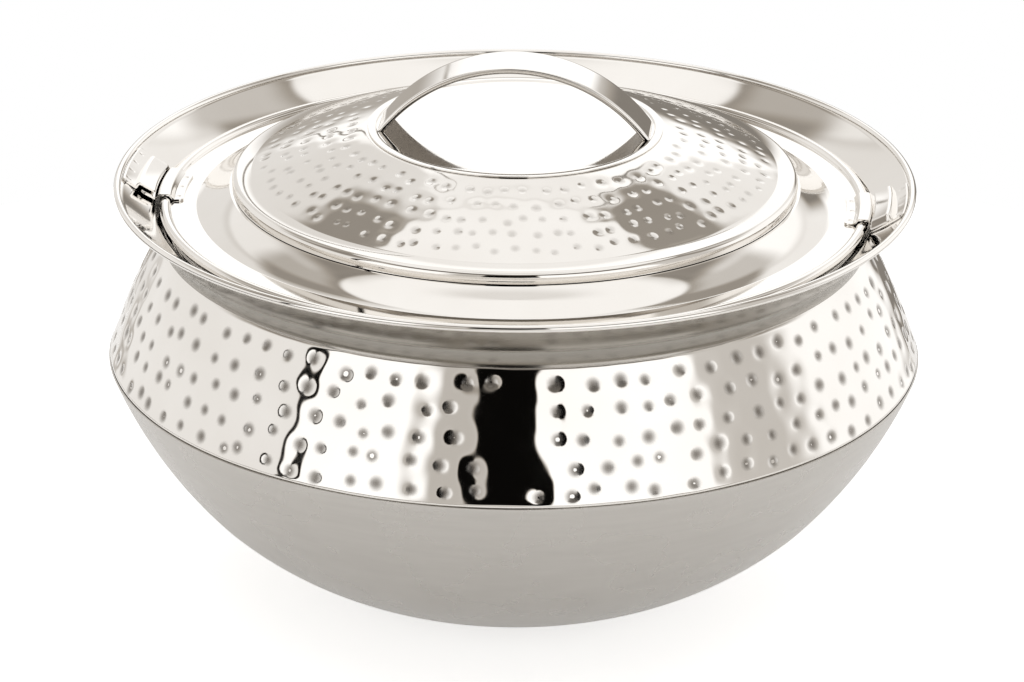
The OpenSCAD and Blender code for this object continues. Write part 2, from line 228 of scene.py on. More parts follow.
# %% Flared rim with its ledge and rolled lip
flare_low = [[117.5, LEDGE_Z], [123.6, LEDGE_Z, 0.9], FLARE_FOOT + [0.5]]
flare_run = rounded(flare_low + [flare_curve[1]])[:-1] + flare_curve[1:]
upper = [p for p in flare_run if math.dist(p, LIP) > LIP_R + 0.03]
under = [p for p in beside(flare_run, -SHEET)[::-1] if math.dist(p, LIP) > LIP_R + 0.03]
lip_from, lip_to = bearing(LIP, upper[-1]), bearing(LIP, under[0])
bead = round_to(LIP, LIP_R, lip_from, (lip_to - lip_from) % (2 * math.pi) - 2 * math.pi, 24)
flared_rim = spun("flared_rim_shell", upper + bead + under)

# %% Inner pot
POT_FLANGE_R, POT_FLOOR_R, POT_FLOOR, POT_CORNER = 122.0, 109.5, 18.0, 50.0
pot_run = rounded([[POT_FLANGE_R, SEAT_Z], [POT_R, SEAT_Z, 1.2], [POT_FLOOR_R, POT_FLOOR, POT_CORNER],
                   [0.0, POT_FLOOR]], 16)
inner_pot = spun("inner_pot_shell", sheet_section(pot_run, SHEET))

# %% [markdown]
# ## The hammered wall and the lid's hammered dome
# The real shells are spun smooth first and then struck with a ball hammer, blow beside blow in loose rows.
# Each blow leaves a shallow pit in a wider, softer hollow, and it is the hollows that make every
# reflection waver. A bump map would lose both in the mesh, so the sheets are spun with quads of less than
# 1 mm and their outer faces are struck in earnest: each vertex goes in along its own normal. How deep in
# a pit a vertex lies is also written on it, as the attribute blow, for the finish to read.

# %% Hammer helper
FRONT = math.radians(-83.7)   # the direction of the smooth strip in the wall
CHUNK = 20000                 # vertices compared with the section at a time
SCATTER, SWAY = 1.5, 0.24     # of a blow: up the face in mm, and round it in shares of the spacing
FADE = 2.2                    # mm over which the blows die away at the face's ends


def struck(piece, run, rows, seed, pit, hollow, bare=0.0):
    """Strikes the face that follows run. Each row is (distance along run, blows in the ring).

    A pit and a hollow are (radius, depth) in mm. The smooth strip, bare radians either side of
    FRONT, is left alone."""
    run = np.array(run)
    along = np.concatenate([[0], np.cumsum(np.hypot(*np.diff(run, axis=0).T))])
    tangent = np.gradient(run, axis=0)
    tangent /= np.hypot(*tangent.T)[:, None]
    count = len(piece.data.vertices)
    co = np.empty(count * 3)
    piece.data.vertices.foreach_get("co", co)
    co = co.reshape(-1, 3) / MM
    r, angle = np.hypot(co[:, 0], co[:, 1]), np.arctan2(co[:, 1], co[:, 0])
    flat = np.stack([r, co[:, 2]], 1)
    index = np.empty(count, int)
    gap = np.empty(count)
    for first in range(0, count, CHUNK):
        square = ((flat[first:first + CHUNK, None, :] - run[None]) ** 2).sum(2)
        index[first:first + CHUNK] = square.argmin(1)
        gap[first:first + CHUNK] = square.min(1)
    face = np.flatnonzero(gap < 1e-6)
    s, radius, theta = along[index[face]], r[face], angle[face]
    depth, mark = np.zeros(len(face)), np.zeros(count)
    dice = np.random.RandomState(seed)
    blows = 0
    for at, number in rows:
        start = dice.rand() * 2 * math.pi
        for k in range(number):
            centre_s = at + dice.uniform(-SCATTER, SCATTER)
            centre_a = start + (k + dice.uniform(-SWAY, SWAY)) * 2 * math.pi / number
            if abs(turn(centre_a - FRONT)) < bare:
                continue
            pit_r, pit_h = pit[0] * dice.uniform(0.85, 1.15), pit[1] * dice.uniform(0.7, 1.2)
            wide_r, wide_h = hollow[0] * dice.uniform(0.85, 1.2), hollow[1] * dice.uniform(0.6, 1.2)
            near = np.flatnonzero(abs(s - centre_s) < wide_r)
            across = turn(theta[near] - centre_a) * radius[near]
            square = across ** 2 + (s[near] - centre_s) ** 2
            core = np.clip(1 - square / pit_r ** 2, 0, 1)
            depth[near] += core ** 2 * pit_h
            mark[face[near]] = np.maximum(mark[face[near]], core)
            depth[near] += np.clip(1 - np.sqrt(square) / wide_r, 0, 1) ** 2 * wide_h
            blows += 1
    ends = np.minimum(s, along[-1] - s)
    depth *= np.clip(ends / FADE, 0, 1)
    normal = np.stack([tangent[index[face], 1], -tangent[index[face], 0]], 1)
    if normal[:, 0].mean() + normal[:, 1].mean() < 0:
        normal = -normal
    moved = flat[face] - normal * depth[:, None]
    co[face, 0] = moved[:, 0] * np.cos(theta)
    co[face, 1] = moved[:, 0] * np.sin(theta)
    co[face, 2] = moved[:, 1]
    piece.data.vertices.foreach_set("co", (co * MM).ravel())
    piece.data.attributes.new("blow", "FLOAT", "POINT").data.foreach_set("value", mark.astype("f"))
    piece.data.update()
    print(piece.name, blows, "blows, deepest", round(float(depth.max()), 2), "mm")


BACK_STEP = 9
BEATEN_CRISP = 60   # degrees: wide enough that a pit's slope stays smooth


def hammered_section(head, face, tail, t):
    """A sheet whose outer face is dense, and whose back has only one point for each BACK_STEP."""
    back = beside(head + face + tail, t)
    first, last = len(head), len(head) + len(face)
    kept = back[:first] + back[first:last:BACK_STEP] + back[last - 1:]
    return head + face + tail + kept[::-1]


print("a blow is off its place by up to", SCATTER, "mm")


# %% Hammered wall
WALL_STEPS, WALL_OVERRUN = 1080, 0.15
WALL_ROWS = [(5.6, 76), (14.6, 78), (24.0, 80), (32.4, 82), (41.4, 84)]
wall_top = np.add(NECK, LAP_STEP * band_in)
wall_foot = np.add(BELLY, LAP_STEP * lip_in)
face_run = wall_curve[2:-2]
wall_head = [(wall_top - LAP * band_dir).tolist(), (wall_top + WALL_OVERRUN * band_dir).tolist()]
wall_tail = [(wall_foot - WALL_OVERRUN * lip_dir).tolist(), (wall_foot + LAP * lip_dir).tolist()]
wall_section = hammered_section(wall_head, face_run, wall_tail, -SHEET)
hammered_wall = spun("hammered_wall_shell", wall_section, WALL_STEPS, BEATEN_CRISP)
struck(hammered_wall, face_run, WALL_ROWS, seed=11, pit=(2.7, 0.22), hollow=(9.0, 0.42),
       bare=math.radians(3.3))

# %% Lid crown
CROWN_STEPS, CROWN_HOLE_R = 864, 50.0
CROWN_ROWS = [(7.2, 54), (14.6, 60), (22.2, 67), (29.6, 73), (36.8, 79)]
shoulder = rounded([CONE_FOOT, [CROWN_R, CROWN_Z - 0.34, 2.2], [CROWN_R, STEP_Z]], 12)
crown_section = hammered_section([[CROWN_HOLE_R, CONE_TOP[1]]], cone_curve[1:-1], shoulder, -SHEET)
lid_crown = spun("lid_crown_shell", crown_section, CROWN_STEPS, BEATEN_CRISP)
struck(lid_crown, cone_curve[1:-1], CROWN_ROWS, seed=5, pit=(1.9, 0.13), hollow=(6.5, 0.15))

# %% [markdown]
# ## The smooth parts of the lid
# The skirt is one mirror-bright pressing: a cove that falls from the crown's step to a flat flange,
# with a half-round bead pressed round its edge. The pan closes the lid from below. The polished dish is
# nearly flat, with a turned-down edge, and its rim covers the opening in the crown.

# %% Lid skirt
SKIRT_IN = 98.05   # its neck slips up inside the crown's step
skirt_neck = [[SKIRT_IN, 147.35], [SKIRT_IN, 145.15]]
cove_foot = rounded([cove_curve[-4], [COVE_R + 0.1, FLANGE_Z, 1.2], [BEAD_IN, FLANGE_Z]])
bead_foot = rounded([[BEAD_IN - 1.4, FLANGE_Z], [BEAD_IN, FLANGE_Z, 0.5], [BEAD_IN + 0.5, FLANGE_Z + 0.9]])
skirt_bead = arc([BEAD_IN, FLANGE_Z], [BEAD_OUT, FLANGE_Z], BEAD_H, 24)
skirt_run = skirt_neck + cove_curve[1:-3] + cove_foot[1:-1] + bead_foot[:-1] + skirt_bead[3:]
lid_skirt = spun("lid_skirt_shell", sheet_section(skirt_run, -SHEET))

# %% Lid pan
PAN_LIP_R, PAN_LIP_Z = 113.0, 136.8
pan_run = rounded([[PAN_LIP_R, PAN_LIP_Z], [PAN_R, PAN_LIP_Z, 1.2], [PAN_R, PAN_Z, 9.0],
                   [0.0, PAN_Z]], 14)
lid_pan = spun("lid_pan_shell", sheet_section(pan_run, -SHEET))

# %% Dish under the handle
rise = DISH_EDGE[1] - DISH_FLAT[1]
dish_r = ((DISH_EDGE[0] - DISH_FLAT[0]) ** 2 + rise ** 2) / (2 * rise)
dish_chord = math.dist(DISH_EDGE, DISH_FLAT)
dish_arc = arc(DISH_EDGE, DISH_FLAT, dish_r - math.sqrt(dish_r ** 2 - dish_chord ** 2 / 4), 48)
dish_run = rounded([[RECESS_OUT, RECESS_Z], [RECESS_R, RECESS_Z, 1.0], DISH_EDGE + [0.45],
                    dish_arc[2]], 10)[:-1] + dish_arc[2:] + [[0.0, DISH_FLAT[1]]]
recess_dish = spun("recess_dish_shell", sheet_section(dish_run, SHEET))

# %% Lid seal
SEAL_R, SEAL_HALF, SEAL_TOP, SEAL_ROUND = 115.8, 2.5, 137.4, 0.7
seal_in, seal_out = SEAL_R - SEAL_HALF, SEAL_R + SEAL_HALF
seal_section = rounded([[SEAL_R, SEAT_Z], [seal_out, SEAT_Z, SEAL_ROUND], [seal_out, SEAL_TOP, SEAL_ROUND],
                        [seal_in, SEAL_TOP, SEAL_ROUND], [seal_in, SEAT_Z, SEAL_ROUND],
                        [SEAL_R, SEAT_Z]])[:-1]
lid_seal = spun("lid_seal_ring", seal_section, steps=192)

# %% [markdown]
# ## Bent sheet pieces
# The handle, the brackets and the lugs aren't round about the axis. Each is a strip of sheet that is bent
# and pressed, so each is lofted: a grid primitive is the blank, its columns become the closed section of
# the strip and its rows the places along it. Merging closes the section, and the two ends are capped.

# %% Loft helper
def lofted(name, rows, edge=0.0):
    """The solid through rows of equal closed sections, given as [row][point][xyz] in millimetres."""
    rows = np.array(rows, float)
    count, around = rows.shape[0], rows.shape[1]
    deselect()
    bpy.ops.mesh.primitive_grid_add(x_subdivisions=count - 1, y_subdivisions=around, size=1)
    piece = named(name)
    for vertex in piece.data.vertices:
        row = round((vertex.co.x + 0.5) * (count - 1))
        column = round((vertex.co.y + 0.5) * around) % around
        vertex.co = rows[row, column] * MM
    bpy.ops.object.mode_set(mode="EDIT")
    bpy.ops.mesh.select_all(action="SELECT")
    bpy.ops.mesh.remove_doubles(threshold=1e-7)
    bpy.ops.mesh.select_all(action="DESELECT")
    bpy.ops.mesh.select_mode(type="EDGE")
    bpy.ops.mesh.select_non_manifold()
    bpy.ops.mesh.edge_face_add()
    bpy.ops.mesh.select_all(action="SELECT")
    bpy.ops.mesh.normals_make_consistent(inside=False)
    bpy.ops.object.mode_set(mode="OBJECT")
    if edge:
        soften = piece.modifiers.new("edge", "BEVEL")
        soften.width, soften.segments, soften.limit_method = edge * MM, 2, "ANGLE"
        soften.angle_limit = math.radians(50)
        bpy.ops.object.modifier_apply(modifier=soften.name)
    bpy.ops.object.shade_smooth_by_angle(angle=math.radians(40))
    print(name, len(piece.data.polygons), "faces")
    return piece


# %% Section of a sheet strip
END_STEPS, END_BULGE = 4, 0.35   # points round a sheared edge, and how far it stands out, in thicknesses


def band_section(line, t):
    """A strip's closed section: the lower line, a half-round end, the upper line, a half-round end."""
    upper_line = beside(line, t)[::-1]
    section = []
    for run_now, after in ((line, upper_line), (upper_line, line)):
        a, b = np.array(run_now[-1]), np.array(after[0])
        out = away(run_now[-2], run_now[-1]) * t * END_BULGE
        edge = [a + (b - a) * (1 - math.cos(math.pi * i / END_STEPS)) / 2
                + out * math.sin(math.pi * i / END_STEPS) for i in range(1, END_STEPS)]
        section += list(run_now) + [p.tolist() for p in edge]
    return section


print("a strip with two points a face has", len(band_section([[0, 0], [1, 0]], 0.5)), "in its section")

# %% [markdown]
# ## The strap handle
# A strip 19.4 mm wide and 2 mm thick, bowed in one arc over the dish, with both ends welded to it.
# A long straight strap would be bent; here its section, a bar with soft edges, is lofted along the arc.
# Points that would sink into the dish are lifted onto it, so that each foot follows the dish.

# %% Handle strap
STRAP_W, STRAP_T, STRAP_TOP, NOSE = 19.4, 2.0, 190.0, 0.5
STRAP_GAP = 0.1   # between the feet and the dish
foot_x = math.sqrt(DISH_EDGE[0] ** 2 - (STRAP_W / 2) ** 2)
strap_line = arc([-foot_x, DISH_EDGE[1]], [foot_x, DISH_EDGE[1]], STRAP_TOP - DISH_EDGE[1], 128)
strap_under = beside(strap_line, -STRAP_T)
dish_line = np.array(beside(dish_run, -STRAP_GAP))[::-1]


NOSE_STEPS, FLAT_STEPS = 4, 16


def strap_section():
    """[across, down] points of the bar: two flat faces and soft edges."""
    quarter = []
    for i in range(NOSE_STEPS + 1):
        a = math.pi / 2 * i / NOSE_STEPS
        quarter.append([STRAP_W / 2 - NOSE + NOSE * math.sin(a), NOSE - NOSE * math.cos(a)])
    flat = [[(STRAP_W / 2 - NOSE) * (2 * i / FLAT_STEPS - 1), 0.0] for i in range(1, FLAT_STEPS)]
    top_half = flat + quarter
    low_half = [[y, STRAP_T - d] for y, d in reversed(quarter)] + [[y, STRAP_T] for y, d in reversed(flat)]
    left = [[-y, d] for y, d in quarter]
    return top_half + low_half + [[y, STRAP_T - d] for y, d in left] + left[::-1]


strap_rows = []
for (xo, zo), (xi, zi) in zip(strap_line, strap_under):
    ring = []
    for y, d in strap_section():
        x, z = xo + (xi - xo) * d / STRAP_T, zo + (zi - zo) * d / STRAP_T
        ring.append([x, y, max(z, float(np.interp(math.hypot(x, y), dish_line[:, 0], dish_line[:, 1])))])
    strap_rows.append(ring)
handle_strap = lofted("handle_strap_bow", strap_rows)

# %% [markdown]
# ## The twist lock
# Two pressed brackets are spot-welded to the flared wall, and two sheet lugs to the lid's flange.
# A bracket is a pocket, open at one end, that slopes down to the wall at its other end and its outer edge.
# A lug climbs over the bead and runs on as a tongue above the wall, into the pocket.

# %% Lock sizes and helpers
CLIP_T, CLIP_EDGE = 0.8, 0.12
BRACKET_DEG, BRACKET_OUT, END_DEG = 13.6, 137.2, 1.4
POCKET_IN, POCKET_OUT, POCKET_SLOPE, POCKET_H = 126.2, 132.8, 1.8, 2.5
LUG_DEG, LUG_IN, TONGUE_OUT, CORNER = 12.6, 116.2, 130.7, 1.6
flare = np.array(flare_curve)


def wall_z(r):
    """Height of the flared wall at the radius r, carried on straight past its ends."""
    inside = np.interp(r, flare[:, 0], flare[:, 1])
    before = flare[0, 1] + (r - flare[0, 0]) * (flare[1, 1] - flare[0, 1]) / (flare[1, 0] - flare[0, 0])
    return np.where(r < flare[0, 0], before, inside)


def swell(x):
    """A soft step from 0 to 1."""
    return (1 - np.cos(np.pi * np.clip(x, 0, 1))) / 2


def cut_back(d):
    """How far a rounded corner of the plan is cut back at the distance d from its end."""
    return CORNER - math.sqrt(CORNER ** 2 - (CORNER - d) ** 2) if d < CORNER else 0.0


def stood(section, degrees):
    """A section of [r, z] points stood up at an angle round the axis."""
    a = math.radians(degrees)
    return [[r * math.cos(a), r * math.sin(a), z] for r, z in section]


def places(total):
    """Places along a clip in degrees, close together at its rounded ends."""
    corner = math.degrees(CORNER / RIM_R)
    fine = [corner * (1 - math.cos(math.pi / 2 * i / 6)) for i in range(7)]
    middle = np.linspace(corner, total - corner, 64)[1:-1].tolist()
    return fine + middle + [total - f for f in reversed(fine)]


print("a bracket has", len(places(BRACKET_DEG)), "sections along it")


# %% Bracket
WALL_GAP = 0.1   # between a bracket and the flared wall


def bracket(name, degrees):
    """The pressed pocket, with its closed end first."""
    rows = []
    for at in places(BRACKET_DEG):
        d = math.radians(min(at, BRACKET_DEG - at)) * RIM_R
        r = np.concatenate([np.linspace(POCKET_IN, POCKET_OUT - POCKET_SLOPE, 14)[:-1],
                            np.linspace(POCKET_OUT - POCKET_SLOPE, POCKET_OUT, 9)[:-1],
                            np.linspace(POCKET_OUT, BRACKET_OUT - cut_back(d), 10)])
        lift = swell((at - 0.2) / END_DEG) * (1 - swell((r - (POCKET_OUT - POCKET_SLOPE)) / POCKET_SLOPE))
        line = np.stack([r, wall_z(r) + WALL_GAP + POCKET_H * lift], 1).tolist()
        rows.append(stood(band_section(line, CLIP_T), at - BRACKET_DEG / 2 + degrees))
    return lofted(name, rows, CLIP_EDGE)


print("a pocket is", round(POCKET_H + WALL_GAP, 2), "mm high inside")

# %% Lug
lug_line = np.array(rounded([[LUG_IN - 1, FLANGE_Z], [BEAD_IN - 0.9, FLANGE_Z, 0.9],
                             [BEAD_IN + 0.7, FLANGE_Z + BEAD_H + 0.2, 0.7],
                             [BEAD_OUT - 0.3, FLANGE_Z + BEAD_H + 0.2, 0.7],
                             [FLARE_FOOT[0] - 0.1, float(wall_z(FLARE_FOOT[0])) + 0.9, 1.2],
                             [TONGUE_OUT + 1, float(wall_z(TONGUE_OUT + 1)) + 0.8]]))


def lug(name, degrees):
    """The tongue, from its flap on the flange out to its tip above the wall."""
    rows = []
    for at in places(LUG_DEG):
        cut = cut_back(math.radians(min(at, LUG_DEG - at)) * RIM_R)
        r = np.linspace(LUG_IN + cut, TONGUE_OUT - cut, 56)
        line = np.stack([r, np.interp(r, lug_line[:, 0], lug_line[:, 1])], 1).tolist()
        rows.append(stood(band_section(line, CLIP_T), at - LUG_DEG / 2 + degrees))
    return lofted(name, rows, CLIP_EDGE)


print("a tongue climbs", round(float(lug_line[:, 1].max() - lug_line[0, 1]), 2), "mm over the bead")


# %% Weld marks
def dimpled(piece, spots, size, depth):
    """Presses small round weld marks into the upper face, at [radius, degrees] spots."""
    co = np.empty(len(piece.data.vertices) * 3)
    normals = np.empty(len(piece.data.vertices) * 3)
    piece.data.vertices.foreach_get("co", co)
    piece.data.vertices.foreach_get("normal", normals)
    co, up = co.reshape(-1, 3), normals.reshape(-1, 3)[:, 2] > 0.3
    for r, degrees in spots:
        spot = np.array([r * math.cos(math.radians(degrees)), r * math.sin(math.radians(degrees))]) * MM
        square = ((co[:, :2] - spot) ** 2).sum(1) / (size * MM) ** 2
        co[:, 2] -= np.where(up, np.clip(1 - square, 0, 1) ** 2 * depth * MM, 0)
    piece.data.vertices.foreach_set("co", co.ravel())
    piece.data.update()


# %% Brackets and lugs
BRACKET_WELD_R, LUG_WELD_R = 135.2, 117.9
clips = {}
for side, degrees in (("right", 0.0), ("left", 180.0)):
    clips["lock_bracket_" + side] = bracket("lock_bracket_press_" + side, degrees)
    spots = [(BRACKET_WELD_R, degrees + a) for a in (-5.2, -1.7, 1.7, 5.2)]
    dimpled(clips["lock_bracket_" + side], spots, size=0.9, depth=0.3)
    clips["lock_lug_" + side] = lug("lock_lug_tongue_" + side, degrees + LID_DEG)
    spots = [(LUG_WELD_R, degrees + LID_DEG + a) for a in (-4.6, 0.0, 4.6)]
    dimpled(clips["lock_lug_" + side], spots, size=1.3, depth=0.35)

# The strap is turned with the lid, so its mesh is turned, and its object stays at the origin
deselect()
handle_strap.select_set(True)
bpy.context.view_layer.objects.active = handle_strap
handle_strap.data.transform(Matrix.Rotation(math.radians(LID_DEG), 4, "Z"))

# %% [markdown]
# ## Finishes
# Polished stainless steel is a metal whose colour is a warm pale grey, with a very low roughness. It is
# never perfect: the buffing leaves soft clouds in the gloss and waves far too shallow to see as shape.
# Satin steel is brushed round the axis, so its grain is a noise that is long round the piece and short
# up it. Each finish is a small tree of nodes on Object coordinates, so it stays put when a piece moves.
# The pits of the hammered sheets are rougher, and their colour is darkened towards a brown as painted
# shade in each pit.

# %% Material helpers
def tree_of(name):
    material = bpy.data.materials.new(name)
    material.use_nodes = True
    nodes = material.node_tree.nodes
    return material, nodes, material.node_tree.links, nodes["Principled BSDF"]


def math_node(nodes, links, operation, *values):
    node = nodes.new("ShaderNodeMath")
    node.operation = operation
    for socket, value in zip(node.inputs, values):
        if isinstance(value, bpy.types.NodeSocket):
            links.new(value, socket)
        else:
            socket.default_value = value
    return node.outputs[0]


def noise(nodes, links, vector, scale, detail=3.0):
    node = nodes.new("ShaderNodeTexNoise")
    node.inputs["Scale"].default_value = scale
    node.inputs["Detail"].default_value = detail
    links.new(vector, node.inputs["Vector"])
    return node.outputs[0]


NOISE_LOW, NOISE_HIGH = 0.3, 0.7   # most of a noise lies between these


def between(nodes, links, value, low, high):
    """A noise spread from low to high."""
    node = nodes.new("ShaderNodeMapRange")
    for socket, number in zip(("From Min", "From Max", "To Min", "To Max"),
                              (NOISE_LOW, NOISE_HIGH, low, high)):
        node.inputs[socket].default_value = number
    links.new(value, node.inputs["Value"])
    return node.outputs["Result"]


def tint(nodes, links, value, one, two):
    """A colour between one and two, picked by value."""
    node = nodes.new("ShaderNodeMix")
    node.data_type = "RGBA"
    node.inputs[6].default_value, node.inputs[7].default_value = (*one, 1), (*two, 1)
    links.new(value, node.inputs[0])
    return node.outputs[2]


def bumped(nodes, links, height, shader, distance):
    """Relief of a height of distance metres."""
    node = nodes.new("ShaderNodeBump")
    node.inputs["Distance"].default_value = distance
    node.inputs["Strength"].default_value = 1.0
    links.new(height, node.inputs["Height"])
    links.new(node.outputs[0], shader.inputs["Normal"])


def object_point(nodes):
    return nodes.new("ShaderNodeTexCoord").outputs["Object"]


print("a noise is spread from", NOISE_LOW, "to", NOISE_HIGH)


# %% Mirror steel
def mirror_steel(name, pale, deep, gloss=(0.035, 0.07)):
    """Buffed stainless steel."""
    material, nodes, links, shader = tree_of(name)
    point = object_point(nodes)
    cloud = noise(nodes, links, point, 26.0)
    links.new(tint(nodes, links, between(nodes, links, cloud, 0, 1), pale, deep),
              shader.inputs["Base Color"])
    links.new(between(nodes, links, noise(nodes, links, point, 90.0), *gloss),
              shader.inputs["Roughness"])
    bumped(nodes, links, noise(nodes, links, point, 34.0, 1.0), shader, 0.00002)
    shader.inputs["Metallic"].default_value = 1.0
    return material


polished = mirror_steel("polished_steel", (0.86, 0.835, 0.8), (0.82, 0.79, 0.75))
beaten = mirror_steel("hammered_steel", (0.85, 0.825, 0.79), (0.8, 0.77, 0.73), (0.03, 0.06))
beaten_lid = mirror_steel("hammered_lid_steel", (0.85, 0.825, 0.79), (0.8, 0.77, 0.73), (0.03, 0.06))
# The dark colour below is painted shade for the strap's underside; that steel is also rougher.
strap_underside_shaded = mirror_steel("strap_underside_steel_painted_shade", (0.34, 0.31, 0.27), (0.28, 0.25, 0.22), (0.3, 0.42))
print("mirror finishes:", [steel.name for steel in (polished, beaten, beaten_lid, strap_underside_shaded)])

# %% Rougher steel and painted shade in the pits
# The dark brown is the painted shade that each pit's colour is darkened towards.
PIT_SHADE_BROWN, PIT_FALL, PIT_ROUGHNESS = (0.12, 0.1, 0.08, 1), 1.3, 0.3


def shade_and_roughen_pits(material, share):
    """Mixes in a dark brown as painted shade, and a rougher steel, by the depth of each blow."""
    nodes, links = material.node_tree.nodes, material.node_tree.links
    shader = nodes["Principled BSDF"]
    blow = nodes.new("ShaderNodeAttribute")
    blow.attribute_name = "blow"
    depth = math_node(nodes, links, "MULTIPLY",
                      math_node(nodes, links, "POWER", blow.outputs["Fac"], PIT_FALL), share)
    bright = shader.inputs["Base Color"].links[0].from_socket
    gloss = shader.inputs["Roughness"].links[0].from_socket
    pit_shade_mix = nodes.new("ShaderNodeMix")
    pit_shade_mix.data_type = "RGBA"
    links.new(depth, pit_shade_mix.inputs[0])
    links.new(bright, pit_shade_mix.inputs[6])
    pit_shade_mix.inputs[7].default_value = PIT_SHADE_BROWN
    links.new(pit_shade_mix.outputs[2], shader.inputs["Base Color"])
    links.new(math_node(nodes, links, "ADD", gloss,
                        math_node(nodes, links, "MULTIPLY", depth, PIT_ROUGHNESS)),
              shader.inputs["Roughness"])


# Strong painted shade in the wall's pits, and a fainter one in the lid's.
shade_and_roughen_pits(beaten, 0.85)
shade_and_roughen_pits(beaten_lid, 0.3)
print("pits are dulled on", beaten.name, "and more faintly on", beaten_lid.name)

# %% Satin steel
GRAIN_ROUND, GRAIN_UP = 6.0, 900.0   # how fine the grain is round a piece and up it


def satin_steel(name, pale, deep, gloss):
    """Steel brushed round the upright axis."""
    material, nodes, links, shader = tree_of(name)
    point = object_point(nodes)
    split = nodes.new("ShaderNodeSeparateXYZ")
    links.new(point, split.inputs[0])
    x, y, z = split.outputs
    r = math_node(nodes, links, "SQRT", math_node(
        nodes, links, "ADD", math_node(nodes, links, "MULTIPLY", x, x),
        math_node(nodes, links, "MULTIPLY", y, y)))
    safe = math_node(nodes, links, "MAXIMUM", r, 0.001)
    grain = nodes.new("ShaderNodeCombineXYZ")
    for socket, value in zip(grain.inputs, (
            math_node(nodes, links, "MULTIPLY", math_node(nodes, links, "DIVIDE", x, safe), GRAIN_ROUND),
            math_node(nodes, links, "MULTIPLY", math_node(nodes, links, "DIVIDE", y, safe), GRAIN_ROUND),
            math_node(nodes, links, "MULTIPLY", math_node(nodes, links, "SUBTRACT", z, r), GRAIN_UP))):
        links.new(value, socket)
    lines = noise(nodes, links, grain.outputs[0], 1.0, 4.0)
    links.new(tint(nodes, links, between(nodes, links, lines, 0, 1), pale, deep),
              shader.inputs["Base Color"])
    links.new(between(nodes, links, noise(nodes, links, point, 40.0), *gloss),
              shader.inputs["Roughness"])
    bumped(nodes, links, lines, shader, 0.00001)
    shader.inputs["Metallic"].default_value = 1.0
    return material


# The bowl's colour is set darker than the mirror steel, as painted shade for the shadowed floor that it
# reflects.
satin = satin_steel("satin_steel_bowl_painted_shade", (0.6, 0.577, 0.543), (0.57, 0.547, 0.514), (0.25, 0.31))
# The collar's colour is far darker than the other steel: painted shade for the shadowed floor that it
# reflects.
collar_steel_shaded = satin_steel("collar_steel_painted_shade", (0.38, 0.36, 0.325), (0.35, 0.33, 0.295), (0.2, 0.27))
inside = satin_steel("satin_steel_pot", (0.78, 0.76, 0.73), (0.72, 0.7, 0.67), (0.16, 0.24))
print("satin finishes:", [steel.name for steel in (satin, collar_steel_shaded, inside)])


# %% Silicone, foam and plug
def matte(name, pale, deep, scale, roughness, depth):
    """A non-metal with mottled colour and a fine tooth."""
    material, nodes, links, shader = tree_of(name)
    point = object_point(nodes)
    links.new(tint(nodes, links, between(nodes, links, noise(nodes, links, point, scale), 0, 1),
                   pale, deep), shader.inputs["Base Color"])
    links.new(between(nodes, links, noise(nodes, links, point, scale * 2.5), *roughness),
              shader.inputs["Roughness"])
    bumped(nodes, links, noise(nodes, links, point, scale * 3.0), shader, depth)
    return material


silicone = matte("white_silicone", (0.86, 0.86, 0.84), (0.8, 0.8, 0.78), 60.0, (0.38, 0.5), 0.00002)
foam = matte("cast_foam", (0.8, 0.72, 0.5), (0.7, 0.61, 0.4), 220.0, (0.8, 0.95), 0.0004)
moulded = matte("moulded_plug", (0.06, 0.06, 0.062), (0.045, 0.045, 0.048), 120.0, (0.45, 0.6), 0.00004)
print("other finishes:", [stuff.name for stuff in (silicone, foam, moulded)])

# %% [markdown]
# ## Hanging the pieces on the frame
# Each piece says which CAD node it stands for, which body it rides on, and which slot of the record its
# finish comes from. The plug and the two foam castings are CAD nodes that stay, with a better material.

# %% Who rides on what
PIECES = [
    (outer_bowl, "outer_bowl", "vessel", "satin_steel", satin),
    (hammered_wall, "hammered_wall", "vessel", "mirror_steel", beaten),
    (neck_collar, "neck_collar", "vessel", "mirror_steel", collar_steel_shaded),
    (flared_rim, "flared_rim", "vessel", "mirror_steel", polished),
    (inner_pot, "inner_pot", "vessel", "satin_steel", inside),
    (lid_crown, "lid_crown", "lid", "mirror_steel", beaten_lid),
    (lid_skirt, "lid_skirt", "lid", "mirror_steel", polished),
    (lid_pan, "lid_pan", "lid", "satin_steel", inside),
    (recess_dish, "recess_dish", "lid", "mirror_steel", polished),
    (handle_strap, "handle_strap", "lid", "mirror_steel", polished),
    (lid_seal, "lid_seal", "seal", "seal", silicone),
] + [(piece, node, "vessel" if "bracket" in node else "lid", "mirror_steel", polished)
     for node, piece in clips.items()]
for piece, node, body, slot, material in PIECES:
    piece.data.materials.clear()
    piece.data.materials.append(material)
    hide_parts(node)
    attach(piece, body)
# Faces of the strap that point down get the darker steel, as painted shade under the strap.
handle_strap.data.materials.append(strap_underside_shaded)
for face in handle_strap.data.polygons:
    below = face.normal.z < -0.2 and face.center.z > (RECESS_Z - 0.3) * MM
    face.material_index = 1 if below else 0
for node, material in (("foam_plug", moulded), ("body_foam", foam), ("lid_foam", foam)):
    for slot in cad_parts[node].material_slots:
        slot.material = material
print(len(PIECES), "pieces hung")

# %% [markdown]
# ## The studio
# Mirror steel shows little of itself and much of its surroundings, so the studio is half of the look.
# It is described by direction, from a white room that cards are laid over: pale walls, a bright cloth
# overhead, two tall softboxes in front with a dark gap between them, and soft seams at the sides.
# Each card lies over those before it, and together they cover every direction. Camera and transmission
# rays see plain white; the rest, by which the steel and the floor are lit, see the cards.

# %% Studio cards
CAMERA_AZ = math.radians(6.3)
STEEL = 0.82


def lit(seen):
    """The light that steel shows as the brightness seen, from 0 to 1."""
    return (((seen + 0.055) / 1.055) ** 2.4 if seen > 0.04 else seen / 12.92) / STEEL


